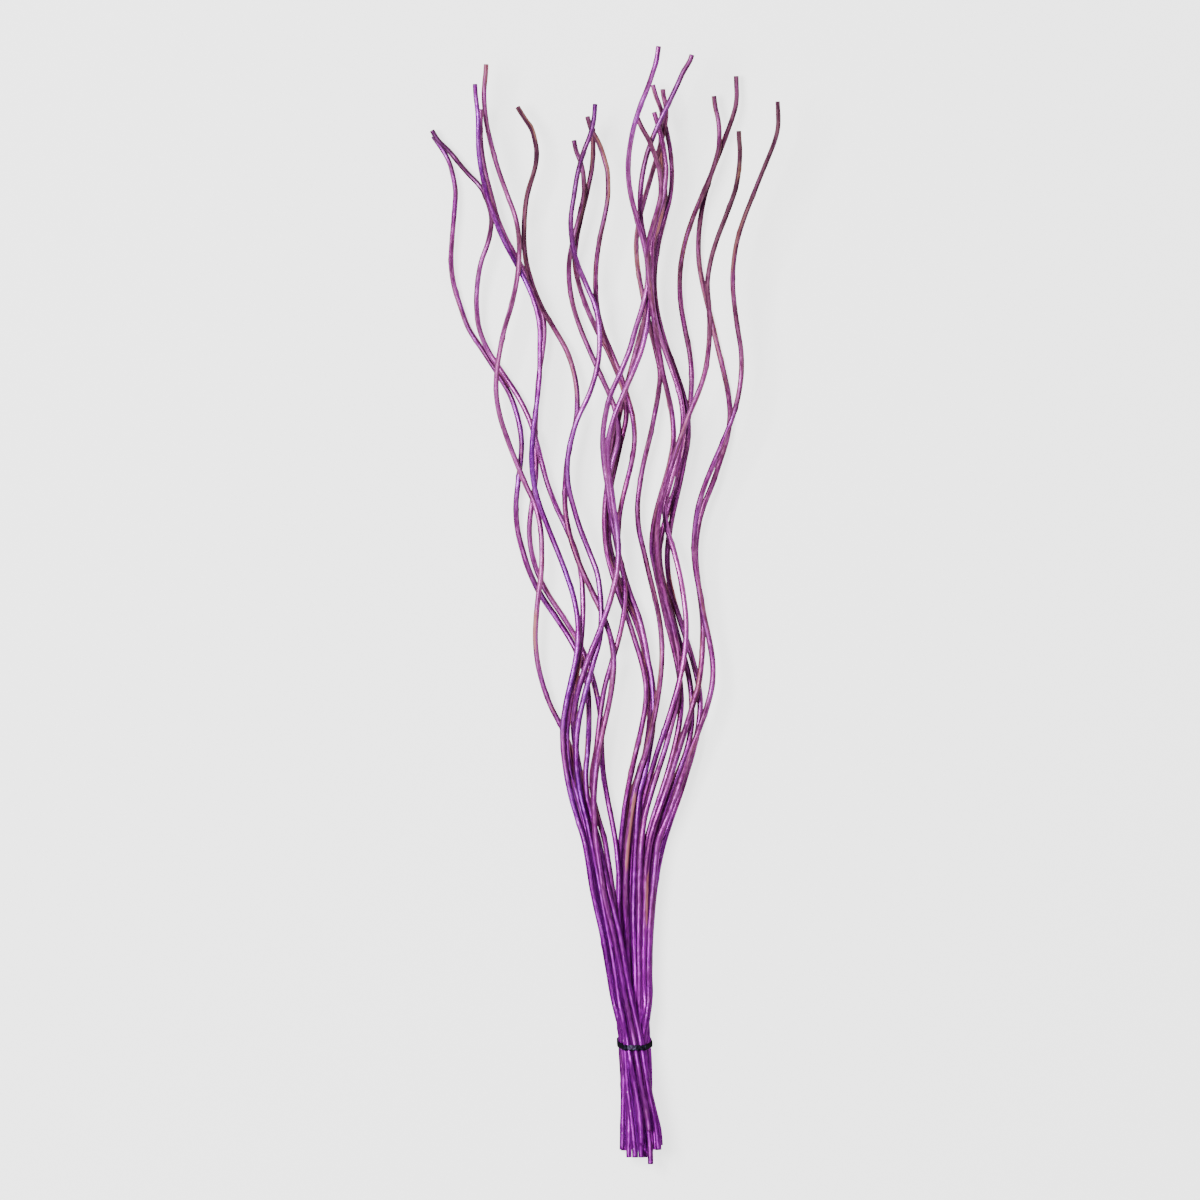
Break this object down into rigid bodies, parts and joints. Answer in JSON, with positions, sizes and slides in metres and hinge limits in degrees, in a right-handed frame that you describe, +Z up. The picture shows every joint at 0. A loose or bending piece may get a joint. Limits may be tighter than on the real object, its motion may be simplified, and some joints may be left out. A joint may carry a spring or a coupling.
{
  "type": "tied bundle of curly willow stems",
  "caption": "Slim bundle of long wavy willow canes, painted purple, lying flat: gathered by a narrow black tie near the cut ends and fanning out towards the tips.",
  "frame": {"origin": "middle of the flat underside of the tie, on the surface that the bundle lies on", "axes": "+Y along the bundle from the cut ends to the tips, +X to the right as seen from above with the tips up, +Z up from the surface"},
  "size_m": [0.315, 1.0054, 0.1061],
  "materials": {
    "painted_cane": "satin purple paint on willow bark, bare tan wood where canes hide one another",
    "tie_black": "glossy black"
  },
  "bodies": {
    "root": {"stem_01": "painted_cane", "stem_02": "painted_cane", "stem_03": "painted_cane", "stem_04": "painted_cane", "stem_05": "painted_cane", "stem_06": "painted_cane", "stem_07": "painted_cane", "stem_08": "painted_cane", "stem_09": "painted_cane", "stem_10": "painted_cane", "stem_11": "painted_cane", "stem_12": "painted_cane", "stem_13": "painted_cane", "stem_14": "painted_cane", "stem_15": "painted_cane", "stem_16": "painted_cane", "stem_17": "painted_cane", "stem_18": "painted_cane", "stem_19": "painted_cane", "stem_20": "painted_cane", "stem_21": "painted_cane", "tie": "tie_black"}
  },
  "joints": []
}
